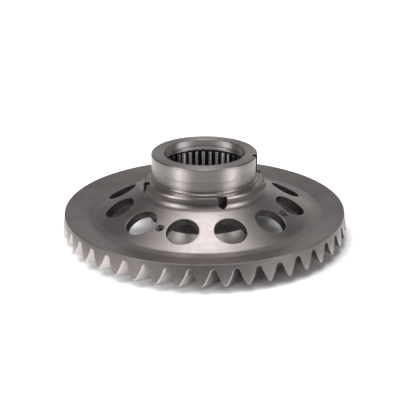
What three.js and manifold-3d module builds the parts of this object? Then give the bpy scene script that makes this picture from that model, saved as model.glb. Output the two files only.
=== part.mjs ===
// Spiral bevel crown wheel on a splined hub, in millimetres, +Z up along the wheel's axis.
// The teeth point down. The origin is the centre of the hub's lower end face, which the part stands on.
//
// Profiles are written as [radius, height] with height 0 at the crown wheel's upper rim edge;
// the whole group is then lifted so that the hub's lower end face is at z = 0.

import * as THREE from 'three';
import { mergeVertices } from 'three/addons/utils/BufferGeometryUtils.js';
import Module from 'manifold-3d';

// ---------- driving dimensions ----------

const FIT_GAP = 0.3; // clearance between neighbouring solids

const HUB_TOP = 59.5; // hub's upper end face above the rim edge
const HUB_BOTTOM = -29.1; // hub's lower end face below the rim edge
const JOURNAL_RADIUS = 55; // upper bearing seat, 110 mm
const LOWER_JOURNAL_RADIUS = 54; // lower bearing seat, 108 mm
const BORE_RADIUS = 42; // smooth counterbore above the spline

const TOOTH_COUNT = 43;
const RIM_RADIUS = 145.5; // upper rim edge
const HEEL_TIP = [149.7, -21]; // outer end of a tooth's top land
const TOE_TIP = [112, -27.4]; // inner end of a tooth's top land
const TOE_FACE_TOP = 109.5; // radius where the teeth's inner end faces meet the web
const HEEL_ROOT = [147.4, -4.7]; // deepest point of a tooth gap on the outer face
const TOE_ROOT = [112, -15.6]; // deepest point of a tooth gap at its inner end
const RIM_CHAMFER = 1.2; // between the rim's upper face and the outer face
const HEEL_SPIRAL_DEG = 38; // spiral angle at the outer end
const TOE_SPIRAL_DEG = 30; // spiral angle at the inner end
const TOP_LAND = 3.0; // tooth's top land at the outer end
const ROOT_WIDTH = 5.0; // gap's root at the outer end
const ROOT_ROUNDING = 1.6; // how far down the rounded root reaches
const FIRST_GAP_DEG = -63.63; // where the first tooth gap meets the outer face

const WEB_ANGLE_DEG = 26; // slope of the conical web
const WEB_THICKNESS = 9;
const UNDERSIDE_INNER = 66; // the web's underside runs straight between these two radii
const UNDERSIDE_OUTER = 106;
const WEB_CENTRE = [90.85, 8.06]; // middle of the web's upper face
const VALLEY_RADIUS = 118.2; // where the web's slope meets the rim's upper face
const VALLEY_HALF = 4; // half width of the soft valley between the two
const VALLEY_RISE = Math.tan((11 * Math.PI) / 180); // rim's upper face rises outwards by 11 degrees

const HOLE_COUNT = 12;
const HOLE_RADIUS = 16;
const FIRST_HOLE_DEG = 16.63;

const INSERT_COUNT = 4;
const FIRST_INSERT_DEG = 61.63;
const INSERT_RADIUS = 4;
const INSERT_BORE = 2.6;
const INSERT_LENGTH = 7.4;
const INSERT_RECESS = 0.8; // below the web's upper face

const SHOULDER_HEIGHT = 31.6; // bearing shoulder above the rim edge
const RING_INNER = 55.3;
const RING_OUTER = 61.1;
const RING_THICKNESS = 4.5;
const COLLAR_BORE = 55.3; // crown wheel's bore around the hub
const COLLAR_RADIUS = 63.7;
const COLLAR_CHAMFER = 0.8;
const FILLET_RADIUS = 11.4; // concave fillet from the collar into the web
const FILLET_TOP = 28.1;
const FILLET_SWEEP_DEG = 50;
const LOWER_COLLAR_RADIUS = 58.5;
const LOWER_COLLAR_END = -8.8;
const LOWER_COLLAR_TOP = 6; // where the lower collar turns into the web's underside

const NOTCH_COUNT = 4;
const NOTCH_WIDTH = 9.5;
const NOTCH_BOTTOM = 21.1;
const NOTCH_INNER = 54.3; // the slots start just inside the collar's bore
const RING_NOTCH_INNER = 58.8; // and stop halfway across the abutment ring

const BUSH_RADIUS = 46.5;
const BUSH_TOP = 47.6;
const BUSH_BOTTOM = -22;
const SPLINE_TEETH = 36;
const SPLINE_MINOR = 40.6;
const SPLINE_MAJOR = 43.2;
const SPLINE_LAND = 0.32; // land width as a share of the tooth pitch
const SPLINE_FLANK_DEG = 30;
const FIRST_LAND_DEG = 1.75; // middle of the first land, from +X
const LEAD_IN_DEPTH = 2.6; // conical lead-in at the bush's upper end
const LEAD_IN_RADIUS = 43.6;
const LEAD_IN_RIM = 0.6; // straight rim above the cone

const SNAP_WIRE = 1.2; // radius of the snap ring's wire
const SNAP_HEIGHT = 50.3;
const SNAP_RADIUS = 42.3; // radius of the wire's centre line
const SNAP_GAP_DEG = 14;

const SLOT_WIDTH = 7.5;
const SLOT_DEPTH = 4;
const SLOT_BOTTOM = 40.7;
const SLOT_DEG = 77;

const JOURNAL_CHAMFER = [0.9, 1.2]; // radial, axial
const LOWER_CHAMFER = 1.5;
const MOUTH_CHAMFER = [0.9, 1.8];
const RELIEF_DEPTH = 1.4; // grinding relief at the upper journal's foot
const RELIEF_TOP = 35.7;
const RELIEF_SLOPE = 0.9;
const RELIEF_FOOT = 30.6;

const WHEEL_FACETS = TOOTH_COUNT * 2;
const HUB_FACETS = 72;
const PAST = 2; // how far a cutter reaches past the surface that it cuts

// ---------- helpers ----------

const wasm = await Module();
wasm.setup();

const radians = THREE.MathUtils.degToRad;

/** Unit direction at an azimuth counted from -Y towards +X. */
function outward(degrees) {
  return new THREE.Vector3(Math.sin(radians(degrees)), -Math.cos(radians(degrees)), 0);
}

/** Turns a three.js geometry into a manifold solid. */
function solid(geometry) {
  const bare = geometry.clone();
  bare.deleteAttribute('normal');
  bare.deleteAttribute('uv');
  const merged = mergeVertices(bare, 1e-4);
  const mesh = new wasm.Mesh({
    numProp: 3,
    vertProperties: new Float32Array(merged.attributes.position.array),
    triVerts: new Uint32Array(merged.index.array),
  });
  return new wasm.Manifold(mesh);
}

/** Turns a manifold solid back into a three.js geometry. */
function geometryOf(body) {
  const mesh = body.getMesh();
  const geometry = new THREE.BufferGeometry();
  geometry.setAttribute('position', new THREE.BufferAttribute(mesh.vertProperties, 3));
  geometry.setIndex(new THREE.BufferAttribute(mesh.triVerts, 1));
  geometry.computeVertexNormals();
  return geometry;
}

/** Solid of revolution about Z from a closed [radius, height] outline. */
function revolved(outline, segments) {
  const points = outline.map(([r, z]) => new THREE.Vector2(r, z));
  if (THREE.ShapeUtils.isClockWise(points)) points.reverse();
  points.push(points[0].clone());
  return new THREE.LatheGeometry(points, segments).rotateX(Math.PI / 2);
}

/** Points of an arc in the [radius, height] plane, angles in degrees. */
function arcPoints(centre, radius, fromDeg, toDeg, steps) {
  const points = [];
  for (let i = 0; i <= steps; i += 1) {
    const angle = radians(fromDeg + ((toDeg - fromDeg) * i) / steps);
    points.push([centre[0] + radius * Math.cos(angle), centre[1] + radius * Math.sin(angle)]);
  }
  return points;
}

/** Copies a geometry round the axis at equal steps. */
function roundTheAxis(geometry, count, firstDeg) {
  const copies = [];
  for (let i = 0; i < count; i += 1) {
    copies.push(geometry.clone().rotateZ(radians(firstDeg + (i * 360) / count)));
  }
  return copies;
}

function cutAll(body, cutters) {
  return cutters.reduce((rest, cutter) => rest.subtract(solid(cutter)), body);
}

/** Closed cylinder along Z, centred on the origin. */
function rod(radius, length, segments) {
  return new THREE.CylinderGeometry(radius, radius, length, segments).rotateX(Math.PI / 2);
}

/** Places a rod square to the conical web, at azimuth 0 (towards -Y), its middle at [r, z]. */
function squareToWeb(geometry, [r, z]) {
  return geometry.rotateX(radians(WEB_ANGLE_DEG)).translate(0, -r, z);
}

function steel(color, roughness) {
  return new THREE.MeshStandardMaterial({ color, roughness, metalness: 1 });
}

const darkSteel = steel(0x77726f, 0.38);
const groundSteel = steel(0xb4b0ad, 0.22);
const springSteel = steel(0x8d8a88, 0.3);

// ---------- crown wheel ----------

const webSlope = Math.tan(radians(WEB_ANGLE_DEG));

/** Height of the web's upper face, or of its underside when thickness is subtracted. */
function webHeight(radius, below = 0) {
  const drop = below / Math.cos(radians(WEB_ANGLE_DEG));
  return WEB_CENTRE[1] - webSlope * (radius - WEB_CENTRE[0]) - drop;
}

function crownWheelOutline() {
  const filletCentre = [COLLAR_RADIUS + FILLET_RADIUS, FILLET_TOP];
  const fillet = arcPoints(filletCentre, FILLET_RADIUS, 180, 180 + FILLET_SWEEP_DEG, 3);
  const recessRadius = RING_OUTER + FIT_GAP;
  const recessFloor = SHOULDER_HEIGHT - RING_THICKNESS - FIT_GAP;
  return [
    [RIM_RADIUS, 0],
    [VALLEY_RADIUS + VALLEY_HALF, -VALLEY_RISE * (RIM_RADIUS - VALLEY_RADIUS - VALLEY_HALF)],
    [VALLEY_RADIUS - VALLEY_HALF, webHeight(VALLEY_RADIUS - VALLEY_HALF)],
    ...fillet.reverse(),
    [COLLAR_RADIUS, SHOULDER_HEIGHT - 2 * COLLAR_CHAMFER],
    [COLLAR_RADIUS - COLLAR_CHAMFER, SHOULDER_HEIGHT],
    [recessRadius, SHOULDER_HEIGHT],
    [recessRadius, recessFloor],
    [COLLAR_BORE, recessFloor],
    [COLLAR_BORE, LOWER_COLLAR_END],
    [LOWER_COLLAR_RADIUS, LOWER_COLLAR_END],
    [LOWER_COLLAR_RADIUS, LOWER_COLLAR_TOP],
    [UNDERSIDE_INNER, webHeight(UNDERSIDE_INNER, WEB_THICKNESS)],
    [UNDERSIDE_OUTER, webHeight(UNDERSIDE_OUTER, WEB_THICKNESS)],
    [TOE_FACE_TOP, TOE_ROOT[1]],
    TOE_TIP,
    HEEL_TIP,
    [RIM_RADIUS + RIM_CHAMFER, -RIM_CHAMFER],
  ];
}

/** Spiral angle at a radius, straight-line between toe and heel. */
function spiralAt(radius) {
  const along = (radius - TOE_TIP[0]) / (HEEL_TIP[0] - TOE_TIP[0]);
  return radians(TOE_SPIRAL_DEG + (HEEL_SPIRAL_DEG - TOE_SPIRAL_DEG) * along);
}

/** Turn of the tooth gap's middle line at a radius, relative to its outer end. */
function spiralTurn(radius) {
  const steps = 20;
  const step = (HEEL_ROOT[0] - radius) / steps;
  let turn = 0;
  for (let i = 0; i < steps; i += 1) {
    const r = radius + (i + 0.5) * step;
    turn += (Math.tan(spiralAt(r)) / r) * step;
  }
  return turn;
}

/** One tooth gap's cutter: a V with a rounded root, swept along the spiral and tapering inwards. */
function gapCutter() {
  const depth = HEEL_ROOT[1] - HEEL_TIP[1];
  const pitch = (2 * Math.PI * HEEL_TIP[0]) / TOOTH_COUNT;
  const tipHalf = (pitch - TOP_LAND) / 2;
  const rootHalf = ROOT_WIDTH / 2;
  const reach = depth * 1.35; // past the top lands
  const flare = rootHalf + ((tipHalf - rootHalf) * reach) / depth;

  const section = new THREE.Shape();
  section.moveTo(-flare, -reach);
  section.lineTo(flare, -reach);
  section.lineTo(rootHalf, -ROOT_ROUNDING);
  section.lineTo(0, 0);
  section.lineTo(-rootHalf, -ROOT_ROUNDING);
  section.closePath();
  const sweep = { depth: 1, steps: 3, bevelEnabled: false };
  const cutter = new THREE.ExtrudeGeometry(section, sweep);

  const outerEnd = HEEL_ROOT[0] + 3 * PAST;
  const innerEnd = TOE_ROOT[0] - 3 * PAST;
  const toothLean = Math.atan2(HEEL_TIP[0] - HEEL_ROOT[0], depth);
  const rootSlope = (HEEL_ROOT[1] - TOE_ROOT[1]) / (HEEL_ROOT[0] - TOE_ROOT[0]);
  const position = cutter.attributes.position;
  for (let i = 0; i < position.count; i += 1) {
    const rootRadius = innerEnd + (outerEnd - innerEnd) * position.getZ(i);
    const scale = rootRadius / HEEL_ROOT[0];
    const down = -position.getY(i) * scale;
    const radius = rootRadius + down * Math.sin(toothLean);
    const height = HEEL_ROOT[1] + rootSlope * (rootRadius - HEEL_ROOT[0]) - down * Math.cos(toothLean);
    const across = (position.getX(i) * scale) / radius;
    const turned = outward(THREE.MathUtils.radToDeg(spiralTurn(rootRadius) + across));
    position.setXYZ(i, turned.x * radius, turned.y * radius, height);
  }
  return cutter;
}

/** Slot for a bearing puller, open upwards, cut outwards from the journal at azimuth 0. */
function notchCutter(innerRadius) {
  const half = NOTCH_WIDTH / 2;
  const length = COLLAR_RADIUS + FILLET_RADIUS - innerRadius;
  const outline = new THREE.Shape();
  outline.moveTo(half, SHOULDER_HEIGHT + PAST);
  outline.lineTo(-half, SHOULDER_HEIGHT + PAST);
  outline.lineTo(-half, NOTCH_BOTTOM + half);
  outline.absarc(0, NOTCH_BOTTOM + half, half, Math.PI, 2 * Math.PI, false);
  outline.closePath();
  const options = { depth: length, bevelEnabled: false, curveSegments: 8 };
  const cutter = new THREE.ExtrudeGeometry(outline, options).rotateX(Math.PI / 2);
  return cutter.translate(0, -innerRadius, 0);
}

function crownWheel() {
  let body = solid(revolved(crownWheelOutline(), WHEEL_FACETS));
  body = cutAll(body, roundTheAxis(gapCutter(), TOOTH_COUNT, FIRST_GAP_DEG));

  const drillLength = 4 * WEB_THICKNESS;
  const hole = squareToWeb(rod(HOLE_RADIUS, drillLength, 24), WEB_CENTRE);
  body = cutAll(body, roundTheAxis(hole, HOLE_COUNT, FIRST_HOLE_DEG));

  const tapped = squareToWeb(rod(INSERT_RADIUS + FIT_GAP, drillLength, 12), WEB_CENTRE);
  body = cutAll(body, roundTheAxis(tapped, INSERT_COUNT, FIRST_INSERT_DEG));

  const notch = notchCutter(NOTCH_INNER);
  body = cutAll(body, roundTheAxis(notch, NOTCH_COUNT, FIRST_HOLE_DEG));
  return geometryOf(body);
}

// ---------- hub, bush and rings ----------

function hubOutline() {
  const seat = BUSH_RADIUS + FIT_GAP;
  const groove = SNAP_RADIUS + SNAP_WIRE + FIT_GAP;
  const grooveHalf = SNAP_WIRE + FIT_GAP;
  const relief = JOURNAL_RADIUS - RELIEF_DEPTH;
  return [
    [BORE_RADIUS + MOUTH_CHAMFER[0], HUB_TOP],
    [JOURNAL_RADIUS - JOURNAL_CHAMFER[0], HUB_TOP],
    [JOURNAL_RADIUS, HUB_TOP - JOURNAL_CHAMFER[1]],
    [JOURNAL_RADIUS, RELIEF_TOP],
    [relief, RELIEF_TOP - RELIEF_SLOPE],
    [relief, RELIEF_FOOT],
    [JOURNAL_RADIUS, RELIEF_FOOT - RELIEF_SLOPE],
    [JOURNAL_RADIUS, LOWER_COLLAR_END],
    [LOWER_JOURNAL_RADIUS, LOWER_COLLAR_END - FIT_GAP],
    [LOWER_JOURNAL_RADIUS, HUB_BOTTOM + LOWER_CHAMFER],
    [LOWER_JOURNAL_RADIUS - LOWER_CHAMFER, HUB_BOTTOM],
    [seat + LOWER_CHAMFER, HUB_BOTTOM],
    [seat, HUB_BOTTOM + LOWER_CHAMFER],
    [seat, BUSH_TOP + FIT_GAP],
    [BORE_RADIUS, BUSH_TOP + FIT_GAP],
    [BORE_RADIUS, SNAP_HEIGHT - grooveHalf],
    [groove, SNAP_HEIGHT - grooveHalf],
    [groove, SNAP_HEIGHT + grooveHalf],
    [BORE_RADIUS, SNAP_HEIGHT + grooveHalf],
    [BORE_RADIUS, HUB_TOP - MOUTH_CHAMFER[1]],
  ];
}

/** Slot for a lock tab, open at the hub's upper end face, at azimuth 0. */
function tabSlotCutter() {
  const height = HUB_TOP - SLOT_BOTTOM + PAST;
  const reach = SLOT_DEPTH + PAST;
  const box = new THREE.BoxGeometry(SLOT_WIDTH, reach, height);
  const middle = JOURNAL_RADIUS - SLOT_DEPTH + reach / 2;
  return box.translate(0, -middle, SLOT_BOTTOM + height / 2);
}

function hubSleeve() {
  const body = solid(revolved(hubOutline(), HUB_FACETS));
  const slot = tabSlotCutter().rotateZ(radians(SLOT_DEG));
  return geometryOf(body.subtract(solid(slot)));
}

/** Internal spline as one outline: lands with straight flanks, joined by the wide roots. */
function splineOutline() {
  const pitch = (2 * Math.PI) / SPLINE_TEETH;
  const landHalf = (SPLINE_LAND * pitch) / 2;
  const depth = SPLINE_MAJOR - SPLINE_MINOR;
  const flank = (depth * Math.tan(radians(SPLINE_FLANK_DEG))) / SPLINE_MAJOR;
  const corners = [];
  for (let i = 0; i < SPLINE_TEETH; i += 1) {
    const middle = radians(FIRST_LAND_DEG) + i * pitch;
    corners.push(
      [SPLINE_MAJOR, middle - landHalf - flank],
      [SPLINE_MINOR, middle - landHalf],
      [SPLINE_MINOR, middle + landHalf],
      [SPLINE_MAJOR, middle + landHalf + flank],
    );
  }
  return new THREE.Path(corners.map(([r, a]) => new THREE.Vector2(r * Math.cos(a), r * Math.sin(a))));
}

function splineBush() {
  const tube = new THREE.Shape();
  tube.absarc(0, 0, BUSH_RADIUS, 0, 2 * Math.PI, false);
  tube.holes.push(splineOutline());
  const options = { depth: BUSH_TOP - BUSH_BOTTOM, bevelEnabled: false, curveSegments: HUB_FACETS / 2 };
  const blank = new THREE.ExtrudeGeometry(tube, options).translate(0, 0, BUSH_BOTTOM);
  const leadIn = revolved(
    [
      [0, BUSH_TOP - LEAD_IN_DEPTH],
      [SPLINE_MINOR - FIT_GAP, BUSH_TOP - LEAD_IN_DEPTH],
      [LEAD_IN_RADIUS, BUSH_TOP - LEAD_IN_RIM],
      [LEAD_IN_RADIUS, BUSH_TOP + PAST],
      [0, BUSH_TOP + PAST],
    ],
    HUB_FACETS,
  );
  return geometryOf(solid(blank).subtract(solid(leadIn)));
}

function abutmentRing() {
  const outline = [
    [RING_INNER, SHOULDER_HEIGHT - RING_THICKNESS],
    [RING_OUTER, SHOULDER_HEIGHT - RING_THICKNESS],
    [RING_OUTER, SHOULDER_HEIGHT],
    [RING_INNER, SHOULDER_HEIGHT],
  ];
  const body = solid(revolved(outline, HUB_FACETS));
  const notch = notchCutter(RING_NOTCH_INNER);
  return geometryOf(cutAll(body, roundTheAxis(notch, NOTCH_COUNT, FIRST_HOLE_DEG)));
}

/** Open wire ring that sits in the bore's groove, its gap towards -Y. */
function snapRing() {
  const half = radians(SNAP_GAP_DEG) / 2;
  const start = -Math.PI / 2 + half;
  const span = 2 * Math.PI - 2 * half;
  class Turn extends THREE.Curve {
    getPoint(t, target = new THREE.Vector3()) {
      const angle = start + span * t;
      return target.set(SNAP_RADIUS * Math.cos(angle), SNAP_RADIUS * Math.sin(angle), SNAP_HEIGHT);
    }
  }
  const section = new THREE.Shape();
  section.absarc(0, 0, SNAP_WIRE, 0, 2 * Math.PI, false);
  const options = { steps: 48, extrudePath: new Turn(), curveSegments: 4, bevelEnabled: false };
  return new THREE.ExtrudeGeometry(section, options);
}

/** Threaded insert: a short tube, standing square to the web. */
function jackingInsert() {
  const tube = new THREE.Shape();
  tube.absarc(0, 0, INSERT_RADIUS, 0, 2 * Math.PI, false);
  const bore = new THREE.Path();
  bore.absarc(0, 0, INSERT_BORE, 0, 2 * Math.PI, true);
  tube.holes.push(bore);
  const options = { depth: INSERT_LENGTH, bevelEnabled: false, curveSegments: 8 };
  const geometry = new THREE.ExtrudeGeometry(tube, options);
  return geometry.translate(0, 0, -INSERT_RECESS - INSERT_LENGTH);
}

// ---------- assembly ----------

function named(name, geometry, material) {
  const mesh = new THREE.Mesh(geometry, material);
  mesh.name = name;
  return mesh;
}

const assembly = new THREE.Group();
assembly.add(named('crown_wheel', crownWheel(), darkSteel));
assembly.add(named('hub_sleeve', hubSleeve(), groundSteel));
assembly.add(named('spline_bush', splineBush(), groundSteel));
assembly.add(named('abutment_ring', abutmentRing(), groundSteel));
assembly.add(named('bore_snap_ring', snapRing(), springSteel));

for (let i = 0; i < INSERT_COUNT; i += 1) {
  const insert = named(`jacking_insert_${i + 1}`, jackingInsert(), springSteel);
  insert.rotation.x = radians(WEB_ANGLE_DEG);
  insert.position.set(0, -WEB_CENTRE[0], WEB_CENTRE[1]);
  const spoke = new THREE.Group();
  spoke.rotation.z = radians(FIRST_INSERT_DEG + (i * 360) / INSERT_COUNT);
  spoke.add(insert);
  assembly.add(spoke);
}

assembly.position.z = -HUB_BOTTOM;

export default assembly;
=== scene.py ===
"""Studio render of a spiral bevel crown wheel on its splined hub.

Lengths are in millimetres until mesh_from() turns them into metres. Heights are measured
from the crown wheel's upper rim edge, as [radius, height]; azimuths are in degrees,
counted from -Y towards +X.
"""

import math

import bmesh
import bpy
import numpy as np
from mathutils import Matrix, Vector


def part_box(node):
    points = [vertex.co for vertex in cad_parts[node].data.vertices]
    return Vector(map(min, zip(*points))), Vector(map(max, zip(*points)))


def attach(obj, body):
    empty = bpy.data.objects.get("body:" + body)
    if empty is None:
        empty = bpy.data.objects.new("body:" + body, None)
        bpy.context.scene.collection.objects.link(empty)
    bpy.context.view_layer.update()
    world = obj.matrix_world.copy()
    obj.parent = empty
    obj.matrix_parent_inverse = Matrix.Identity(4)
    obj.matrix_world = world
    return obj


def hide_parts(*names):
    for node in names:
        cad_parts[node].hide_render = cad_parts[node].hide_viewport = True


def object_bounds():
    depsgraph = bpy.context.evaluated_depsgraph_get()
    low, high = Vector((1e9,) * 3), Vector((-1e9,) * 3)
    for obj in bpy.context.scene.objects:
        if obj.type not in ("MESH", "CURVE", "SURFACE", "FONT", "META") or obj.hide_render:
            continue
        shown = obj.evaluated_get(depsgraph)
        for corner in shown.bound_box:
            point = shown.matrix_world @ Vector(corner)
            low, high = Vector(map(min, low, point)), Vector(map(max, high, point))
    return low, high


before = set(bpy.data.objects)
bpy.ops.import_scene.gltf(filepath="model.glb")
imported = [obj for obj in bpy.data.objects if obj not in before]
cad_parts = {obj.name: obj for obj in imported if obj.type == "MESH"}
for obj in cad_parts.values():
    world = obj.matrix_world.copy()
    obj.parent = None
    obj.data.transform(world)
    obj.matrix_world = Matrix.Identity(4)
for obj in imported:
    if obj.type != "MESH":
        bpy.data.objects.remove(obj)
cad_low, cad_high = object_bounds()

# ---------------------------------------------------------------- camera

SENSOR_WIDTH = 36.0
LENS = 77.7658
CAMERA_PLACE = (0.005736, -0.891743, 0.386594)
CAMERA_DOWN = 22.14685  # degrees below the horizon
CAMERA_ROLL = -0.11702

camera_data = bpy.data.cameras.new("camera")
camera_data.sensor_width = SENSOR_WIDTH
camera_data.lens = LENS
camera_data.clip_start = 0.02
camera_data.clip_end = 60
camera = bpy.data.objects.new("camera", camera_data)
bpy.context.scene.collection.objects.link(camera)
tilt = Matrix.Rotation(math.radians(90 - CAMERA_DOWN), 4, "X")
roll = Matrix.Rotation(math.radians(CAMERA_ROLL), 4, "Z")
place = Matrix.Translation(CAMERA_PLACE)
camera.matrix_world = place @ tilt @ roll
bpy.context.scene.camera = camera

# ---------------------------------------------------------------- dimensions

_, wheel_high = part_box("crown_wheel")
hub_low, hub_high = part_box("hub_sleeve")
bush_low, bush_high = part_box("spline_bush")
snap_low, snap_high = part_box("bore_snap_ring")

SHOULDER = 31.6  # top of the collar and of the ring let into it
LIFT = wheel_high.z * 1000 - SHOULDER  # rim edge above the hub's lower face

HUB_TOP = hub_high.z * 1000 - LIFT
HUB_BOTTOM = hub_low.z * 1000 - LIFT
JOURNAL = 55.0
LOWER_JOURNAL = 54.0
BORE = 42.0
BUSH_SEAT = 46.8
BUSH_OUTER = 46.5
BUSH_TOP = bush_high.z * 1000 - LIFT
BUSH_BOTTOM = bush_low.z * 1000 - LIFT
SNAP_HEIGHT = (snap_low.z + snap_high.z) * 500 - LIFT
SNAP_GROOVE = 43.8
SNAP_MIDDLE = 42.3  # radius of the wire's centre line
SNAP_WIRE = 1.18
TAB_SLOT = 77
TAB_SLOT_WIDTH = 7.5
TAB_SLOT_WALL = 51.0  # radius of the slot's back wall
TAB_SLOT_FOOT = 40.7

TEETH = 43
RIM = 145.5
HEEL_TIP = np.array([149.55, -21.0])
TOE_TIP = np.array([112.0, -27.4])
HEEL_ROOT = np.array([147.4, -4.7])
TOE_ROOT = np.array([112.0, -15.6])
FIRST_GAP = -63.63
TOP_LAND = 3.0
ROOT_WIDTH = 5.0
OUTER_RADIUS = 149.7  # where the tooth pitch and the depth at the heel are stated
TOOTH_DEPTH = 16.3
TOOTH_LEAN = 2.3  # how far the heel faces lean outwards over that depth
GAP_ARC_STEPS = 7
GAP_FLANK_STEPS = 14

WEB_ANGLE = math.radians(26)
WEB_THICKNESS = 9.0
WEB_CENTRE = np.array([90.85, 8.06])
VALLEY = 118.2
VALLEY_HALF = 4.0
HOLES = 12
FIRST_HOLE = 16.63
HOLE_RADIUS = 16.0

INSERTS = 4
FIRST_INSERT = 61.63
INSERT_HOLE = 4.3
INSERT_RADIUS = 4.0
INSERT_BORE = 2.6
INSERT_LENGTH = 7.4
INSERT_RECESS = 0.8  # below the web's upper face
THREAD_PITCH = 1.0
THREAD_DEPTH = 0.38

COLLAR_BORE = 55.3
COLLAR_FOOT = -8.8
NECK = 63.7  # the collar's outside, above the fillet down to the web
NECK_FILLET = 11.4
RING_SEAT = 61.4
RING_OUTER = 61.1
RING_HEIGHT = 4.5
NOTCHES = 4
NOTCH_HALF = 4.75
NOTCH_BOTTOM = 21.1
NOTCH_END = 75.1

SPLINE_TEETH = 36
FIRST_LAND = 1.75
SPLINE_MINOR = 40.6
SPLINE_DEPTH = 2.6
SPLINE_MAJOR = 43.2
CONE_WIDE = 43.6
CONE_TIP = 40.3
CONE_STEP = 3.3


# ---------------------------------------------------------------- mesh helpers


def turned(radius, height, azimuth):
    """Point in the CAD frame, in millimetres. Azimuth in radians from -Y towards +X."""
    x = radius * np.sin(azimuth)
    y = -radius * np.cos(azimuth)
    return np.stack(np.broadcast_arrays(x, y, height), -1)


def mesh_from(name, points, faces):
    mesh = bpy.data.meshes.new(name)
    points = np.array(points, float).reshape(-1, 3)
    points[:, 2] += LIFT
    mesh.from_pydata((points / 1000).tolist(), [], faces)
    mesh.update()
    return mesh


def object_from(name, mesh):
    made = bpy.data.objects.new(name, mesh)
    bpy.context.scene.collection.objects.link(made)
    return made


def rounded(corners, steps=4):
    """Outline with each [r, z, radius] corner replaced by an arc; radius 0 keeps it sharp."""
    out = []
    count = len(corners)
    for i in range(count):
        here = np.array(corners[i][:2], float)
        before = np.array(corners[i - 1][:2], float) - here
        after = np.array(corners[(i + 1) % count][:2], float) - here
        radius = corners[i][2]
        if radius <= 0:
            out.append(here)
            continue
        la, lb = np.linalg.norm(before), np.linalg.norm(after)
        a, b = before / la, after / lb
        half = math.acos(np.clip(a @ b, -1, 1)) / 2
        reach = min(radius / math.tan(half), 0.48 * la, 0.48 * lb)
        size = reach * math.tan(half)
        middle = (a + b) / np.linalg.norm(a + b)
        centre = here + middle * size / math.sin(half)
        start, end = here + a * reach - centre, here + b * reach - centre
        turn = math.atan2(start[0] * end[1] - start[1] * end[0], start @ end)
        for k in range(steps + 1):
            t = turn * k / steps
            c, s = math.cos(t), math.sin(t)
            out.append(centre + np.array([c * start[0] - s * start[1], s * start[0] + c * start[1]]))
    return out


def divided(outline, longest):
    """Adds points so that no side of a closed outline is longer than that."""
    out = []
    for i, here in enumerate(outline):
        there = outline[(i + 1) % len(outline)]
        parts = max(1, math.ceil(np.linalg.norm(np.array(there) - here) / longest))
        for k in range(parts):
            out.append(np.array(here) + (np.array(there) - here) * k / parts)
    return out


def anticlockwise(outline):
    p = np.array(outline)
    q = np.roll(p, -1, 0)
    area = np.sum(p[:, 0] * q[:, 1] - q[:, 0] * p[:, 1])
    return outline if area > 0 else outline[::-1]


def grid_faces(rows, columns, close_rows=True, close_columns=True):
    """Quads of a grid whose point (row, column) has index row * columns + column."""
    faces = []
    for j in range(rows if close_rows else rows - 1):
        for i in range(columns if close_columns else columns - 1):
            j2, i2 = (j + 1) % rows, (i + 1) % columns
            faces.append((j * columns + i, j2 * columns + i, j2 * columns + i2, j * columns + i2))
    return faces


def lathe(outline, segments):
    p = np.array(anticlockwise(outline))
    azimuth = np.arange(segments) * 2 * math.pi / segments
    points = turned(p[None, :, 0], p[None, :, 1], azimuth[:, None])
    return points.reshape(-1, 3), grid_faces(segments, len(p))


def joined(parts):
    points, faces, base = [], [], 0
    for p, f in parts:
        p = np.array(p).reshape(-1, 3)
        points.append(p)
        faces += [tuple(base + i for i in face) for face in f]
        base += len(p)
    return np.concatenate(points), faces


def outward_faces(points, faces):
    """The same closed mesh with its faces turned outwards if they point inwards."""
    volume = 0.0
    p = np.array(points).reshape(-1, 3)
    for f in faces:
        a = p[f[0]]
        for k in range(1, len(f) - 1):
            volume += a @ np.cross(p[f[k]], p[f[k + 1]])
    return (p, faces) if volume > 0 else (p, [tuple(reversed(f)) for f in faces])


def capped(rows):
    """Closed mesh through a row of equal loops, with its two ends filled."""
    rows = np.array(rows)
    count, width = rows.shape[:2]
    faces = grid_faces(count, width, close_rows=False)
    faces.append(tuple(range(width)))
    faces.append(tuple(reversed(range((count - 1) * width, count * width))))
    return outward_faces(rows.reshape(-1, 3), faces)


def spoke(azimuth):
    """Unit vectors outwards and sideways at an azimuth in degrees."""
    a = math.radians(azimuth)
    out = np.array([math.sin(a), -math.cos(a), 0.0])
    side = np.array([math.cos(a), math.sin(a), 0.0])
    return out, side


def cut(name, body, cutters):
    """The body with the cutters taken out, as one mesh."""
    base = object_from(name + "_blank", mesh_from(name + "_blank", *body))
    tool = object_from(name + "_tool", mesh_from(name + "_tool", *joined(cutters)))
    modifier = base.modifiers.new("cut", "BOOLEAN")
    modifier.operation = "DIFFERENCE"
    modifier.solver = "MANIFOLD"
    modifier.object = tool
    graph = bpy.context.evaluated_depsgraph_get()
    mesh = bpy.data.meshes.new_from_object(base.evaluated_get(graph))
    mesh.name = name
    for o in (base, tool):
        data = o.data
        bpy.data.objects.remove(o)
        bpy.data.meshes.remove(data)
    return mesh


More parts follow.
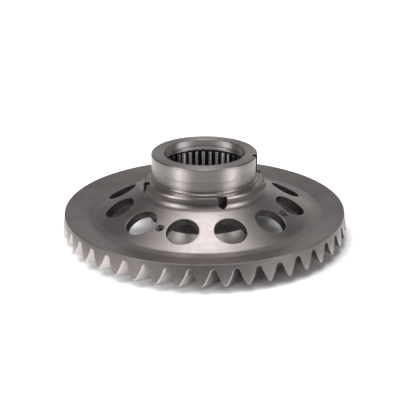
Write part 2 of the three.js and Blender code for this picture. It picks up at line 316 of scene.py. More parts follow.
def finished(name, mesh, node, materials, sharp_deg=24, zone=None):
    """Smooth shading, edge wear where the surface is convex, and the frame's bookkeeping.

    zone(centre, normal) gives a face's material index, centre in millimetres from the rim edge.
    """
    mesh.materials.clear()
    for m in materials:
        mesh.materials.append(m)
    bm = bmesh.new()
    bm.from_mesh(mesh)
    bmesh.ops.remove_doubles(bm, verts=bm.verts, dist=2e-6)
    layer = bm.verts.layers.float.new("edge_wear")
    for vertex in bm.verts:
        bend = sum(max(0.0, e.calc_face_angle_signed(0)) for e in vertex.link_edges)
        vertex[layer] = min(1.0, max(0.0, math.degrees(bend) - 6) / 34)
    if zone:
        for face in bm.faces:
            centre = face.calc_center_median() * 1000
            centre.z -= LIFT
            face.material_index = zone(centre, face.normal)
    bm.to_mesh(mesh)
    bm.free()
    mesh.shade_smooth()
    mesh.set_sharp_from_angle(angle=math.radians(sharp_deg))
    made = object_from(name, mesh)
    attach(made, "root")
    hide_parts(node)
    return made


# ---------------------------------------------------------------- materials


class Nodes:
    """Short way to add and wire shader nodes."""

    def __init__(self, tree):
        self.tree = tree

    def add(self, kind, **values):
        node = self.tree.nodes.new(kind)
        for key, value in values.items():
            setattr(node, key, value)
        return node

    def wire(self, source, target):
        self.tree.links.new(source, target)

    def math(self, operation, a, b=None, clamp=False):
        node = self.add("ShaderNodeMath", operation=operation, use_clamp=clamp)
        for socket, value in zip(node.inputs, (a, b)):
            if value is None:
                continue
            if isinstance(value, (int, float)):
                socket.default_value = value
            else:
                self.wire(value, socket)
        return node.outputs[0]

    def noise(self, vector, scale, detail=3.0, roughness=0.5):
        node = self.add("ShaderNodeTexNoise")
        node.inputs["Scale"].default_value = scale
        node.inputs["Detail"].default_value = detail
        node.inputs["Roughness"].default_value = roughness
        self.wire(vector, node.inputs["Vector"])
        return node.outputs["Fac"]

    def ranged(self, value, low, high, to_low, to_high):
        node = self.add("ShaderNodeMapRange")
        self.wire(value, node.inputs["Value"])
        for key, number in (
            ("From Min", low),
            ("From Max", high),
            ("To Min", to_low),
            ("To Max", to_high),
        ):
            node.inputs[key].default_value = number
        return node.outputs["Result"]

    def mix(self, factor, a, b):
        node = self.add("ShaderNodeMix", data_type="RGBA")
        self.wire(factor, node.inputs["Factor"])
        for socket, value in ((node.inputs[6], a), (node.inputs[7], b)):
            if isinstance(value, tuple):
                socket.default_value = (*value, 1)
            else:
                self.wire(value, socket)
        return node.outputs[2]


def steel(
    name,
    colour,
    roughness,
    ring_pitch=0.5,
    ring_depth=0.2,
    grain=0.1,
    blotch=0.12,
    wear=0.5,
    anisotropy=0.0,
    rough_rim=0.0,
    dark_beyond=0.0,
):
    """Machined steel: tool marks round the axis, fine grain, uneven film and worn edges.

    rough_rim is added to the roughness towards the rim; beyond the radius dark_beyond, in
    metres, the colour turns dark, as painted shade in the roots of the spline.
    """
    material = bpy.data.materials.new(name)
    material.use_nodes = True
    n = Nodes(material.node_tree)
    shader = material.node_tree.nodes["Principled BSDF"]
    where = n.add("ShaderNodeTexCoord").outputs["Object"]
    split = n.add("ShaderNodeSeparateXYZ")
    n.wire(where, split.inputs[0])
    x, y, z = split.outputs
    radius = n.math("SQRT", n.math("ADD", n.math("MULTIPLY", x, x), n.math("MULTIPLY", y, y)))
    rings = n.add("ShaderNodeCombineXYZ")
    n.wire(radius, rings.inputs[0])
    n.wire(z, rings.inputs[1])
    marks = n.noise(rings.outputs[0], 1000 / ring_pitch, 2.0, 0.6)
    broad_rings = n.noise(rings.outputs[0], 160, 2.0, 0.5)
    fine = n.noise(where, 2600, 3.0, 0.6)
    patches = n.noise(where, 38, 5.0, 0.6)
    small_patches = n.noise(where, 210, 4.0, 0.65)

    attribute = n.add("ShaderNodeAttribute", attribute_name="edge_wear")
    worn = n.math("MULTIPLY", attribute.outputs["Fac"], attribute.outputs["Fac"])
    worn = n.math("MULTIPLY", worn, n.ranged(small_patches, 0.35, 0.65, 0.35, 1.0))
    worn = n.math("MULTIPLY", worn, wear, clamp=True)

    dark = tuple(c * (1 - blotch) * k for c, k in zip(colour, (1.0, 0.985, 0.97)))
    light = tuple(min(1.0, c * (1 + blotch)) for c in colour)
    tone = n.mix(n.ranged(patches, 0.32, 0.68, 0, 1), dark, light)
    streaked = n.mix(
        n.ranged(broad_rings, 0.35, 0.65, 0, 0.35),
        tone,
        tuple(c * (1 - 0.8 * blotch) for c in colour),
    )
    bright = tuple(min(1.0, c * 0.6 + 0.36) for c in colour)
    surface = n.mix(worn, streaked, bright)
    if dark_beyond:
        # painted shade: the roots between the spline's lands turn nearly black
        painted_root_shade = n.ranged(radius, dark_beyond, dark_beyond + 0.0006, 0, 1)
        surface = n.mix(painted_root_shade, surface, tuple(c * 0.06 for c in colour))
    n.wire(surface, shader.inputs["Base Color"])

    rough = n.ranged(small_patches, 0.3, 0.7, roughness * 0.9, roughness * 1.12)
    rough = n.math("ADD", rough, n.ranged(marks, 0.3, 0.7, -0.025, 0.025))
    rough = n.math("SUBTRACT", rough, n.math("MULTIPLY", worn, 0.08), clamp=True)
    if rough_rim:
        rough = n.math("ADD", rough, n.ranged(radius, 0.112, 0.122, 0, rough_rim))
    n.wire(rough, shader.inputs["Roughness"])

    bump_rings = n.add("ShaderNodeBump")
    bump_rings.inputs["Strength"].default_value = ring_depth
    bump_rings.inputs["Distance"].default_value = 0.00003
    n.wire(marks, bump_rings.inputs["Height"])
    bump_grain = n.add("ShaderNodeBump")
    bump_grain.inputs["Strength"].default_value = grain
    bump_grain.inputs["Distance"].default_value = 0.00003
    n.wire(fine, bump_grain.inputs["Height"])
    n.wire(bump_rings.outputs[0], bump_grain.inputs["Normal"])
    n.wire(bump_grain.outputs[0], shader.inputs["Normal"])

    shader.inputs["Metallic"].default_value = 1.0
    if anisotropy:
        shader.inputs["Anisotropic"].default_value = anisotropy
        shader.inputs["Anisotropic Rotation"].default_value = 0.25
        tangent = n.add("ShaderNodeTangent", direction_type="RADIAL", axis="Z")
        n.wire(tangent.outputs[0], shader.inputs["Tangent"])
    return material


# colour, roughness, pitch and depth of the tool marks, grain, blotches, wear
wheel_steel = steel(
    "wheel_steel", (0.50, 0.458, 0.455), 0.32, 0.6, 0.25, 0.16, 0.12, 0.55, rough_rim=0.03
)
# painted shade: a dark steel colour for the walls of the holes and slots and for the web's
# underside, standing in for the deep shade there
painted_shade_steel = steel("painted_shade_steel", (0.135, 0.123, 0.12), 0.5, 0.3, 0.3, 0.3, 0.25, 0.3)
ground_steel = steel(
    "ground_steel", (0.68, 0.635, 0.63), 0.24, 0.4, 0.05, 0.01, 0.06, 0.4, anisotropy=0.3
)
turned_steel = steel(
    "turned_steel", (0.68, 0.64, 0.635), 0.3, 0.4, 0.05, 0.01, 0.06, 0.4, anisotropy=0.85
)
spline_steel = steel(
    "spline_steel", (0.64, 0.605, 0.615), 0.24, 0.3, 0.15, 0.08, 0.06, 0.2, dark_beyond=0.0417
)
spring_steel = steel("spring_steel", (0.68, 0.65, 0.65), 0.2, 0.3, 0.05, 0.1, 0.06, 0.2)
insert_steel = steel("insert_steel", (0.24, 0.222, 0.218), 0.32, 0.3, 0.1, 0.1, 0.08, 0.3)

# ---------------------------------------------------------------- crown wheel


def web_height(radius, below=0.0):
    drop = below / math.cos(WEB_ANGLE)
    return WEB_CENTRE[1] - math.tan(WEB_ANGLE) * (radius - WEB_CENTRE[0]) - drop


def wheel_outline():
    fillet_centre = np.array([NECK + NECK_FILLET, 28.1])
    rise = math.tan(math.radians(11))  # of the face between the valley and the rim
    upper = [
        [RIM + 0.6, 0.1, 0.1],
        [VALLEY + VALLEY_HALF, -rise * (RIM - VALLEY - VALLEY_HALF), 9.0],
        [VALLEY - VALLEY_HALF, web_height(VALLEY - VALLEY_HALF), 9.0],
    ]
    fillet = []
    for k in range(16, -1, -1):
        a = math.radians(180 + 50 * k / 16)
        fillet.append([*(fillet_centre + NECK_FILLET * np.array([math.cos(a), math.sin(a)])), 0])
    rest = [
        [NECK, SHOULDER - 1.6, 0.3],
        [62.9, SHOULDER, 0.2],
        [RING_SEAT, SHOULDER, 0.15],
        [RING_SEAT, SHOULDER - 4.8, 0.2],
        [COLLAR_BORE, SHOULDER - 4.8, 0.2],
        [COLLAR_BORE, COLLAR_FOOT, 0.4],
        [58.5, COLLAR_FOOT, 0.8],
        [58.5, 6.0, 2.5],
        [66.0, web_height(66.0, WEB_THICKNESS), 6.0],
        [106.0, web_height(106.0, WEB_THICKNESS), 4.0],
        [109.5, TOE_ROOT[1], 1.0],
        [TOE_TIP[0], TOE_TIP[1], 0.5],
        [HEEL_TIP[0], HEEL_TIP[1], 0.5],
        [RIM + 1.1, -0.5, 0.1],
    ]
    return divided(rounded(upper + fillet + rest), 2.0)


def spiral_turn(radius):
    """Turn in radians of a gap's centre line from the heel in to a radius."""
    steps = 24
    step = (HEEL_ROOT[0] - radius) / steps
    r = radius + (np.arange(steps) + 0.5) * step
    along = (r - TOE_TIP[0]) / (OUTER_RADIUS - TOE_TIP[0])
    return np.sum(np.tan(np.radians(30 + 8 * along)) / r) * step


def gap_section(scale, depth):
    """Half of a tooth gap's section as [across, down] from the root outwards."""
    pitch = 2 * math.pi * OUTER_RADIUS / TEETH
    tip_half = (pitch - TOP_LAND) / 2
    root_half = ROOT_WIDTH / 2
    points = []
    for k in range(GAP_ARC_STEPS):
        a = math.radians(90 * k / (GAP_ARC_STEPS - 1) * 0.78)
        points.append([root_half * 1.13 * math.sin(a), 2.05 * (1 - math.cos(a))])
    start = np.array(points[-1])
    for k in range(1, GAP_FLANK_STEPS + 1):
        t = k / GAP_FLANK_STEPS
        down = start[1] + (TOOTH_DEPTH - start[1]) * t
        line = start[0] + (tip_half - start[0]) * t
        bow = 0.55 * math.sin(math.pi * t)
        points.append([line - bow, down])
    section = np.array(points) * scale
    foot = section[GAP_ARC_STEPS - 1, 1]
    share = np.arange(1, GAP_FLANK_STEPS + 1)
    section[GAP_ARC_STEPS:, 1] = foot + (depth - foot) * share / GAP_FLANK_STEPS
    limit = (pitch / 2 - 0.35) * scale
    last = section[-1].copy()
    chamfer = [section[-1] + [0.55, 0.05], [limit, depth + 1.2], [limit, depth + 6]]
    section[-1] = last + [-0.02, -0.45]
    return np.array([*section.tolist(), *[list(c) for c in chamfer]])


def gap_cutter(first):
    """Space between two teeth, swept along the spiral; it flares past the outer face."""
    inner, outer = 104.0, 152.0
    edge = HEEL_ROOT[0] - 0.17  # where the gap's root meets the outer face
    lean = math.atan2(TOOTH_LEAN, TOOTH_DEPTH)
    slope = (HEEL_ROOT[1] - TOE_ROOT[1]) / (HEEL_ROOT[0] - TOE_ROOT[0])
    stations = [*np.linspace(inner, edge - 0.3, 22), edge + 0.5, outer]
    rows = []
    for root in stations:
        scale = root / HEEL_ROOT[0]
        root_height = HEEL_ROOT[1] + slope * (root - HEEL_ROOT[0])
        land = (HEEL_TIP - TOE_TIP) / (HEEL_TIP[0] - TOE_TIP[0])
        # distance down the leaning line until it meets the top lands
        gap = TOE_TIP[1] + land[1] * (root - TOE_TIP[0]) - root_height
        depth = -gap / (math.cos(lean) + land[1] * math.sin(lean))
        half = gap_section(scale, depth)
        flare = max(0.0, root - edge + 0.3)
        if flare:
            direction = np.gradient(half, axis=0)
            normal = np.stack([direction[:, 1], -direction[:, 0]], -1)
            normal /= np.linalg.norm(normal, axis=1)[:, None]
            normal[0] = [0, -1]
            moved = half + normal * min(flare, 1.6)
            moved[-2:] = half[-2:]
            half = moved
        full = np.concatenate([half[::-1] * [-1, 1], half[1:]])
        down = full[:, 1]
        radius = root + down * math.sin(lean)
        height = root_height - down * math.cos(lean)
        turn = math.radians(first) + spiral_turn(root) + full[:, 0] / radius
        rows.append(turned(radius, height, turn))
    return capped(rows)


def web_frame(azimuth):
    """Centre of the web's upper face at an azimuth, with its slope, tangent and normal."""
    out, tangent = spoke(azimuth)
    up = np.array([0.0, 0.0, 1.0])
    down_slope = math.cos(WEB_ANGLE) * out - math.sin(WEB_ANGLE) * up
    normal = math.sin(WEB_ANGLE) * out + math.cos(WEB_ANGLE) * up
    return WEB_CENTRE[0] * out + WEB_CENTRE[1] * up, down_slope, tangent, normal


def surface_offset(point, normal, below):
    """How far along the web's normal a point is from its upper face or underside."""
    s = 0.0
    for _ in range(12):
        p = point + s * normal
        s -= (p[2] - web_height(math.hypot(p[0], p[1]), below)) * math.cos(WEB_ANGLE)
    return s


def hole_cutter(azimuth, radius, edge, segments):
    """Drill square to the web whose two ends flare out into rounded hole edges."""
    centre, slope, tangent, normal = web_frame(azimuth)
    rows = []
    for k in range(segments):
        a = 2 * math.pi * k / segments
        ray = math.cos(a) * slope + math.sin(a) * tangent
        rim = centre + radius * ray
        top = surface_offset(rim, normal, 0.0)
        low = surface_offset(rim, normal, WEB_THICKNESS)
        column = []
        for j in range(5, -1, -1):
            t = math.radians(90 * j / 5)
            column.append([edge * (1 - math.cos(t)), low + edge * (1 - math.sin(t))])
        column.insert(0, [edge, low - 2.5])
        for j in range(6):
            t = math.radians(90 * j / 5)
            column.append([edge * (1 - math.cos(t)), top - edge * (1 - math.sin(t))])
        column.append([edge, top + 2.5])
        rows.append([rim + c[0] * ray + c[1] * normal for c in column])
    rows = np.array(rows)
    count, width = rows.shape[:2]
    faces = grid_faces(count, width, close_columns=False)
    faces.append(tuple(j * width for j in reversed(range(count))))
    faces.append(tuple(j * width + width - 1 for j in range(count)))
    return outward_faces(rows.reshape(-1, 3), faces)


def notch_cutter(azimuth, inner):
    """Slot with a round bottom, open upwards, its outer part flaring slightly."""
    half, bottom, top = NOTCH_HALF, NOTCH_BOTTOM, SHOULDER + 2
    outline = []
    for k in range(21):
        t = math.radians(180 + 180 * k / 20)
        outline.append([half * math.cos(t), bottom + half + half * math.sin(t)])
    for z in (SHOULDER - 2, SHOULDER - 0.5, SHOULDER):
        outline.append([half + max(0, z - SHOULDER + 0.5), z])
    outline.append([half + 0.5, top])
    outline.append([-half - 0.5, top])
    for z in (SHOULDER, SHOULDER - 0.5, SHOULDER - 2):
        outline.append([-half - max(0, z - SHOULDER + 0.5), z])
    section = np.array(outline)
    out, side = spoke(azimuth)
    rows = []
    for r in np.linspace(inner, NOTCH_END, 14):
        rows.append([out * r + side * u + np.array([0, 0, z]) for u, z in section])
    return capped(rows)


wheel_cutters = [gap_cutter(FIRST_GAP + 360 * k / TEETH) for k in range(TEETH)]
for k in range(HOLES):
    wheel_cutters.append(hole_cutter(FIRST_HOLE + 360 * k / HOLES, HOLE_RADIUS, 0.7, 96))
for k in range(INSERTS):
    wheel_cutters.append(hole_cutter(FIRST_INSERT + 360 * k / INSERTS, INSERT_HOLE, 0.35, 40))
for k in range(NOTCHES):
    wheel_cutters.append(notch_cutter(FIRST_HOLE + 360 * k / NOTCHES, COLLAR_BORE - 1.0))
wheel_mesh = cut("wheel", lathe(wheel_outline(), TEETH * 12), wheel_cutters)


def spoke_offset(centre, first, step):
    """Angle in radians from the nearest of the azimuths first + k * step."""
    azimuth = math.degrees(math.atan2(centre.x, -centre.y)) - first
    return math.radians((azimuth + step / 2) % step - step / 2)


def wheel_zone(centre, normal):
    """1, coloured dark as painted shade, for the underside and the walls of the drilled holes and
    puller slots, 0 elsewhere.
    """
    radius = math.hypot(centre.x, centre.y)
    if radius < 108.5 and centre.z < web_height(radius, 0.6 * WEB_THICKNESS):
        return 1
    holes = ((FIRST_HOLE, HOLES, HOLE_RADIUS + 0.25), (FIRST_INSERT, INSERTS, INSERT_HOLE + 0.12))
    for first, number, size in holes:
        turn = spoke_offset(centre, first, 360 / number)
        across = radius * math.sin(turn)
        out = radius * math.cos(turn) - WEB_CENTRE[0]
        up = centre.z - WEB_CENTRE[1]
        along = out * math.cos(WEB_ANGLE) - up * math.sin(WEB_ANGLE)
        deep = out * math.sin(WEB_ANGLE) + up * math.cos(WEB_ANGLE)
        if math.hypot(across, along) < size and -14 < deep < 3:
            return 1
    across = radius * math.sin(spoke_offset(centre, FIRST_HOLE, 360 / NOTCHES))
    above = max(0.0, NOTCH_BOTTOM + NOTCH_HALF - centre.z)
    return 1 if radius < 76 and math.hypot(across, above) < NOTCH_HALF + 0.08 else 0


finished(
    "crown_wheel_body",
    wheel_mesh,
    "crown_wheel",
    [wheel_steel, painted_shade_steel],
    zone=wheel_zone,
)

# ---------------------------------------------------------------- hub sleeve


def hub_outline():
    relief = JOURNAL - 1.4
    corners = [
        [BORE + 0.6, HUB_TOP, 0.1],
        [JOURNAL - 0.9, HUB_TOP, 0.2],
        [JOURNAL, HUB_TOP - 1.2, 0.3],
        [JOURNAL, 45.8, 0],
        [JOURNAL - 0.03, 45.5, 0],
        [JOURNAL, 45.2, 0],
        [JOURNAL, 35.9, 0.25],
        [relief, 34.6, 0.5],
        [relief, 33.2, 0.9],
        [JOURNAL, 31.8, 0.1],
        [JOURNAL, -8.8, 0.2],
        [LOWER_JOURNAL, -9.1, 0.2],
        [LOWER_JOURNAL, HUB_BOTTOM + 1.5, 0.4],
        [LOWER_JOURNAL - 1.5, HUB_BOTTOM, 0.3],
        [BUSH_SEAT + 1.5, HUB_BOTTOM, 0.3],
        [BUSH_SEAT, HUB_BOTTOM + 1.5, 0.3],
        [BUSH_SEAT, BUSH_TOP + 0.3, 0.1],
        [BORE, BUSH_TOP + 0.3, 0.15],
        [BORE, SNAP_HEIGHT - 1.5, 0.12],
        [SNAP_GROOVE, SNAP_HEIGHT - 1.5, 0.3],
        [SNAP_GROOVE, SNAP_HEIGHT + 1.5, 0.3],
        [BORE, SNAP_HEIGHT + 1.5, 0.12],
        [BORE, HUB_TOP - 0.6, 0.15],
    ]
    return divided(rounded(corners), 2.5)


def box_cutter(azimuth, inner, outer, width, low, high):
    """Upright box from one radius to another, for a slot."""
    out, side = spoke(azimuth)
    corners = []
    for r in (inner, outer):
        for u, z in ((-1, low), (1, low), (1, high), (-1, high)):
            corners.append(out * r + side * u * width / 2 + np.array([0, 0, z]))
    faces = [(0, 1, 2, 3), (7, 6, 5, 4), (0, 4, 5, 1), (1, 5, 6, 2), (2, 6, 7, 3), (3, 7, 4, 0)]
    return outward_faces(np.array(corners), faces)


slot = box_cutter(
    TAB_SLOT, TAB_SLOT_WALL, JOURNAL + 3.0, TAB_SLOT_WIDTH, TAB_SLOT_FOOT, HUB_TOP + 2
)
hub_mesh = cut("hub", lathe(hub_outline(), 360), [slot])


def hub_zone(centre, normal):
    """1 for the walls of the lock-tab slot, coloured dark as painted shade, 2 for the turned end
    face, 0 elsewhere.
    """
    if normal.z > 0.95 and centre.z > HUB_TOP - 0.2:
        return 2
    turn = spoke_offset(centre, TAB_SLOT, 360)
    radius = math.hypot(centre.x, centre.y)
    across = abs(radius * math.sin(turn)) < TAB_SLOT_WIDTH / 2 + 0.1
    along = TAB_SLOT_WALL - 0.2 < radius < JOURNAL - 0.02
    upright = TAB_SLOT_FOOT - 0.1 < centre.z < HUB_TOP - 0.01
    return 1 if across and along and upright else 0


finished(
    "hub_sleeve_body",
    hub_mesh,
    "hub_sleeve",
    [ground_steel, painted_shade_steel, turned_steel],
    zone=hub_zone,
)

# ---------------------------------------------------------------- spline bush


def spline_radius(azimuth):
    """Inner radius of the spline, before the lead-in cone."""
    pitch = 2 * math.pi / SPLINE_TEETH
    land_half = 0.32 * pitch / 2
    flank = SPLINE_DEPTH * math.tan(math.radians(30)) / SPLINE_MAJOR
    off = abs((azimuth - math.radians(FIRST_LAND) + pitch / 2) % pitch - pitch / 2)
    t = min(1.0, max(0.0, (off - land_half) / flank))
    return SPLINE_MINOR + SPLINE_DEPTH * t


def spline_bush():
    """Splined bore with a lead-in cone at each end, in a plain round bush."""
    segments = SPLINE_TEETH * 20
    azimuth = np.arange(segments) * 2 * math.pi / segments
    toothed = np.array([spline_radius(a) for a in azimuth])
    heights = [
        BUSH_BOTTOM,
        *np.linspace(BUSH_BOTTOM + 0.3, BUSH_BOTTOM + 2.2, 7),
        *np.linspace(BUSH_BOTTOM + 3, BUSH_TOP - 3, 24),
        *np.linspace(BUSH_TOP - 2.6, BUSH_TOP - 0.6, 13),
        BUSH_TOP - 0.3,
        BUSH_TOP,
    ]
    rows = []
    for z in heights:
        top_cone = CONE_TIP + CONE_STEP * (z - BUSH_TOP + 2.6) / 2.0
        low_cone = CONE_WIDE - CONE_STEP * (z - BUSH_BOTTOM) / 2.2
        cone = min(CONE_WIDE, max(top_cone, low_cone))
        rows.append((np.maximum(toothed, cone), z))
    columns = [turned(r, z, azimuth) for r, z in rows]
    outer = [
        (46.1, BUSH_TOP),
        (BUSH_OUTER, BUSH_TOP - 0.4),
        (BUSH_OUTER, BUSH_BOTTOM + 0.4),
        (46.1, BUSH_BOTTOM),
    ]
    columns += [turned(np.full(segments, r), z, azimuth) for r, z in outer]
    points = np.stack(columns, 1)
    return outward_faces(points.reshape(-1, 3), grid_faces(segments, len(columns)))


bush_mesh = mesh_from("bush", *spline_bush())
finished("spline_bush_body", bush_mesh, "spline_bush", [spline_steel])

# ---------------------------------------------------------------- rings and inserts

ring_outline = [
    [COLLAR_BORE, SHOULDER - RING_HEIGHT, 0.3],
    [RING_OUTER, SHOULDER - RING_HEIGHT, 0.3],
    [RING_OUTER, SHOULDER, 0.35],
    [COLLAR_BORE, SHOULDER, 0.25],
]
ring_blank = lathe(divided(rounded(ring_outline), 1.5), 360)
ring_notches = [notch_cutter(FIRST_HOLE + 360 * k / NOTCHES, 58.8) for k in range(NOTCHES)]
ring_mesh = cut("ring", ring_blank, ring_notches)


def ring_zone(centre, normal):
    """1 for the walls of the puller slots, coloured dark as painted shade, 0 elsewhere."""
    radius = math.hypot(centre.x, centre.y)
    turn = spoke_offset(centre, FIRST_HOLE, 360 / NOTCHES)
    slotted = abs(radius * math.sin(turn)) < NOTCH_HALF + 0.55 and 58.6 < radius < RING_OUTER - 0.05
    return 1 if slotted and abs(normal.z) < 0.5 else 0


finished(
    "abutment_ring_body",
    ring_mesh,
    "abutment_ring",
    [ground_steel, painted_shade_steel],
    zone=ring_zone,
)


def snap_ring():
    """Open ring of round wire with domed ends, its gap at the front."""
    half_gap, inset = math.radians(7), 0.02
    start, end = half_gap + inset, 2 * math.pi - half_gap - inset

    def dome(k):
        """How far past the wire's full section a loop lies, in radians, and its radius."""
        t = math.radians(90 * k / 5)
        return (SNAP_WIRE / SNAP_MIDDLE) * (1 - math.sin(t)), SNAP_WIRE * max(0.05, math.sin(t))

    stations = []
    for past, size in (dome(k) for k in range(5)):
        stations.append((start - past + inset, size))
    for a in np.linspace(start + inset, end - inset, 300):
        stations.append((a, SNAP_WIRE))
    for past, size in (dome(k) for k in range(4, -1, -1)):
        stations.append((end + past - inset, size))
    t = np.arange(20) * 2 * math.pi / 20
    rows = []
    for a, size in stations:
        rows.append(turned(SNAP_MIDDLE + size * np.cos(t), SNAP_HEIGHT + size * np.sin(t), a))
    return capped(rows)


snap_mesh = mesh_from("snap", *snap_ring())
finished("bore_snap_ring_wire", snap_mesh, "bore_snap_ring", [spring_steel])


def threaded_insert(azimuth):
    """Short tube with a real thread in its bore, square to the web."""
    centre, slope, tangent, normal = web_frame(azimuth)
    segments = 32
    heights = np.linspace(0, -INSERT_LENGTH, 60)
    points = []
    for k in range(segments):
        a = 2 * math.pi * k / segments
        ray = math.cos(a) * slope + math.sin(a) * tangent
        column = []
        for h in heights:
            phase = (h / THREAD_PITCH + k / segments) % 1.0
            depth = THREAD_DEPTH * (1 - abs(2 * phase - 1))
            mouth = max(0.0, 0.5 - abs(h), 0.5 - abs(h + INSERT_LENGTH))
            column.append([INSERT_BORE + max(depth, mouth), h])
        column += [[3.75, -INSERT_LENGTH], [INSERT_RADIUS, -INSERT_LENGTH + 0.25]]
        column += [[INSERT_RADIUS, -0.3], [3.7, 0.0]]
        for r, h in column:
            points.append(centre + r * ray + (h - INSERT_RECESS) * normal)
    return outward_faces(np.array(points), grid_faces(segments, len(heights) + 4))


for k in range(INSERTS):
    insert_azimuth = FIRST_INSERT + 360 * k / INSERTS
    insert_mesh = mesh_from(f"insert_{k + 1}", *threaded_insert(insert_azimuth))
    node = f"jacking_insert_{k + 1}"
    finished(node + "_body", insert_mesh, node, [insert_steel])

# ---------------------------------------------------------------- floor and light

FLOOR_RADIUS = 9.0
NEAR_FLOOR_RADIUS = 0.176


def fill_ramp(ramp, stops):
    """Puts grey stops, as (position, value), into a colour ramp."""
    ramp.color_ramp.interpolation = "EASE"
    cells = ramp.color_ramp.elements
    while len(cells) < len(stops):
        cells.new(0.5)
    for cell, (position, value) in zip(cells, stops):
        cell.position = position
        cell.color = (value, value, value, 1)


def toward(azimuth, elevation):
    """Unit vector towards a lamp, its angles in degrees."""
    a, e = math.radians(azimuth), math.radians(elevation)
    return Vector((math.cos(e) * math.sin(a), -math.cos(e) * math.cos(a), math.sin(e)))


def paper_material():
    """Plain pale paper with a faint fibre."""
    material = bpy.data.materials.new("paper")
    material.use_nodes = True
    n = Nodes(material.node_tree)
    shader = material.node_tree.nodes["Principled BSDF"]
    where = n.add("ShaderNodeTexCoord").outputs["Object"]
    fibres = n.noise(where, 900, 4.0, 0.6)
    tone = n.mix(n.ranged(fibres, 0.3, 0.7, 0, 1), (0.80, 0.80, 0.80), (0.84, 0.84, 0.84))
    n.wire(tone, shader.inputs["Base Color"])
    shader.inputs["Roughness"].default_value = 0.9
    shader.inputs["Specular IOR Level"].default_value = 0.1
    return material


def sheet_of_paper(name, radius, height, material):
    """Round sheet lying at a height, both in metres."""
    rings = [0.0, *(np.linspace(0.05, 1, 24) ** 2 * radius)]
    rows = [turned(np.array(rings), 0.0, a) for a in np.arange(96) * 2 * math.pi / 96]
    mesh = bpy.data.meshes.new(name)
    points = np.array(rows).reshape(-1, 3)
    points[:, 2] = height
    mesh.from_pydata(points.tolist(), [], grid_faces(96, len(rings), True, False))
    mesh.validate()
    made = object_from(name, mesh)
    mesh.materials.append(material)
    return made


paper = paper_material()
ground = sheet_of_paper("floor", FLOOR_RADIUS, cad_low.z - 0.0002, paper)
ground.visible_glossy = False
# the floor close to the wheel also shows in the steel; further out the surround takes over
near_ground = sheet_of_paper("floor_reflected", NEAR_FLOOR_RADIUS, cad_low.z - 0.0001, paper)
near_ground.visible_camera = False
near_ground.visible_shadow = False
near_ground.visible_diffuse = False


def bore_card():
    """Reflector standing inside the bore, seen only in the reflections on its far wall."""
    azimuth = np.radians(np.linspace(-140, 140, 113))
    heights = np.linspace(-24, 46, 15)
    rows = [turned(np.full(15, 39.6), heights, a) for a in azimuth]
    faces = [tuple(reversed(f)) for f in grid_faces(113, 15, False, False)]
    made = object_from("bore_card", mesh_from("bore_card", np.array(rows), faces))
    material = bpy.data.materials.new("bore_card")
    material.use_nodes = True
    n = Nodes(material.node_tree)
    material.node_tree.nodes.remove(material.node_tree.nodes["Principled BSDF"])
    split = n.add("ShaderNodeSeparateXYZ")
    n.wire(n.add("ShaderNodeTexCoord").outputs["Object"], split.inputs[0])
    turn = n.math("ARCTAN2", split.outputs[0], n.math("MULTIPLY", split.outputs[1], -1.0))
    away = n.math("DIVIDE", n.math("ABSOLUTE", turn), math.pi)
    ramp = n.add("ShaderNodeValToRGB")
    # degrees away from the front, level
    stops = ((0, 0.26), (40, 0.28), (70, 0.5), (92, 1.0), (112, 0.9), (128, 0.45), (140, 0.05))
    fill_ramp(ramp, [(degrees / 180, value) for degrees, value in stops])
    n.wire(away, ramp.inputs[0])
    facing = n.math("SUBTRACT", 1.0, n.add("ShaderNodeNewGeometry").outputs["Backfacing"])
    foot = n.ranged(split.outputs[2], 0.048, 0.0515, 0.35, 1.0)
    emission = n.add("ShaderNodeEmission")
    n.wire(ramp.outputs[0], emission.inputs["Color"])
    n.wire(n.math("MULTIPLY", facing, foot), emission.inputs["Strength"])
    n.wire(emission.outputs[0], material.node_tree.nodes["Material Output"].inputs[0])
    made.data.materials.append(material)
    for flag in ("visible_camera", "visible_diffuse", "visible_shadow"):
        setattr(made, flag, False)


bore_card()


def soft_sun(name, azimuth, elevation, spread, energy):
    """Soft light for the floor; the steel takes its light from the surround."""
    data = bpy.data.lights.new(name, "SUN")
    data.angle = math.radians(spread)
    data.energy = energy
    sun = bpy.data.objects.new(name, data)
    sun.rotation_euler = toward(azimuth, elevation).to_track_quat("Z", "Y").to_euler()
    bpy.context.scene.collection.objects.link(sun)
    sun.visible_glossy = False


soft_sun("overhead", -90, 76, 44, 3.6)
soft_sun("fill", -65, 26, 30, 2.4)

world = bpy.data.worlds.new("studio")
bpy.context.scene.world = world
world.use_nodes = True
w = Nodes(world.node_tree)
background = world.node_tree.nodes["Background"]
direction = w.add("ShaderNodeTexCoord").outputs["Generated"]
axes = w.add("ShaderNodeSeparateXYZ")
w.wire(direction, axes.inputs[0])

# plain walls: elevation, level
ramp = w.add("ShaderNodeValToRGB")
LEVELS = (
    (-90, 0.30),
    (-22, 0.38),
    (-5, 0.07),
    (20, 0.065),
    (50, 0.065),
    (90, 0.20),
)
fill_ramp(ramp, [((math.sin(math.radians(e)) + 1) / 2, v / 2) for e, v in LEVELS])
w.wire(w.math("MULTIPLY", w.math("ADD", axes.outputs[2], 1.0), 0.5), ramp.inputs[0])
level = w.math("MULTIPLY", ramp.outputs[0], 2.0)


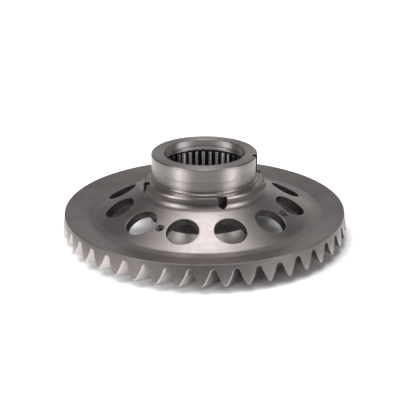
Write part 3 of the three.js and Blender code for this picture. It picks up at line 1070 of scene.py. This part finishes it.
def lobe(vector, aim, sharpness):
    """1 towards the aim, fading with the angle from it."""
    dot = w.add("ShaderNodeVectorMath", operation="DOT_PRODUCT")
    w.wire(vector, dot.inputs[0])
    dot.inputs[1].default_value = aim
    falloff = w.math("MULTIPLY", w.math("SUBTRACT", dot.outputs["Value"], 1.0), sharpness)
    return w.math("EXPONENT", falloff)


# round soft lamps: azimuth, elevation, sharpness, strength
LAMPS = (
    (180, 76, 30, 2.6),
    (-147, 66, 40, 0.25),
    (0, 64, 14, 0.6),
    (180, -45, 3, 0.8),
    (160, 10, 18, 0.22),
    (-90, -5, 4, 0.06),
    (90, -5, 4, 0.06),
)
for azimuth, elevation, sharpness, strength in LAMPS:
    lamp = lobe(direction, toward(azimuth, elevation), sharpness)
    level = w.math("ADD", level, w.math("MULTIPLY", lamp, strength))

# upright strip lamps: azimuth, sharpness across, lower and upper elevation, strength
STRIPS = (
    (-54, 22, -45, -18, 1.55),
    (61, 24, -45, -18, 1.5),
    (-57, 30, 16, 40, 3.2),
    (57, 30, 16, 40, 3.0),
)
flat = w.add("ShaderNodeCombineXYZ")
w.wire(axes.outputs[0], flat.inputs[0])
w.wire(axes.outputs[1], flat.inputs[1])
compass = w.add("ShaderNodeVectorMath", operation="NORMALIZE")
w.wire(flat.outputs[0], compass.inputs[0])
for azimuth, sharpness, low, high, strength in STRIPS:
    across = lobe(compass.outputs[0], toward(azimuth, 0), sharpness)
    for edge, side in ((low, 1), (high, -1)):
        middle = math.sin(math.radians(edge))
        fade = w.add("ShaderNodeMapRange", interpolation_type="SMOOTHSTEP")
        w.wire(axes.outputs[2], fade.inputs["Value"])
        fade.inputs["From Min"].default_value = middle - 0.05
        fade.inputs["From Max"].default_value = middle + 0.05
        fade.inputs["To Min"].default_value = 0 if side > 0 else 1
        fade.inputs["To Max"].default_value = 1 if side > 0 else 0
        across = w.math("MULTIPLY", across, fade.outputs["Result"])
    level = w.math("ADD", level, w.math("MULTIPLY", across, strength))

tint = w.add("ShaderNodeCombineColor")
for socket, share in zip(tint.inputs, (1.0, 0.985, 0.975)):
    w.wire(w.math("MULTIPLY", level, share), socket)
w.wire(tint.outputs[0], background.inputs["Color"])

bpy.context.scene.view_settings.view_transform = "Standard"
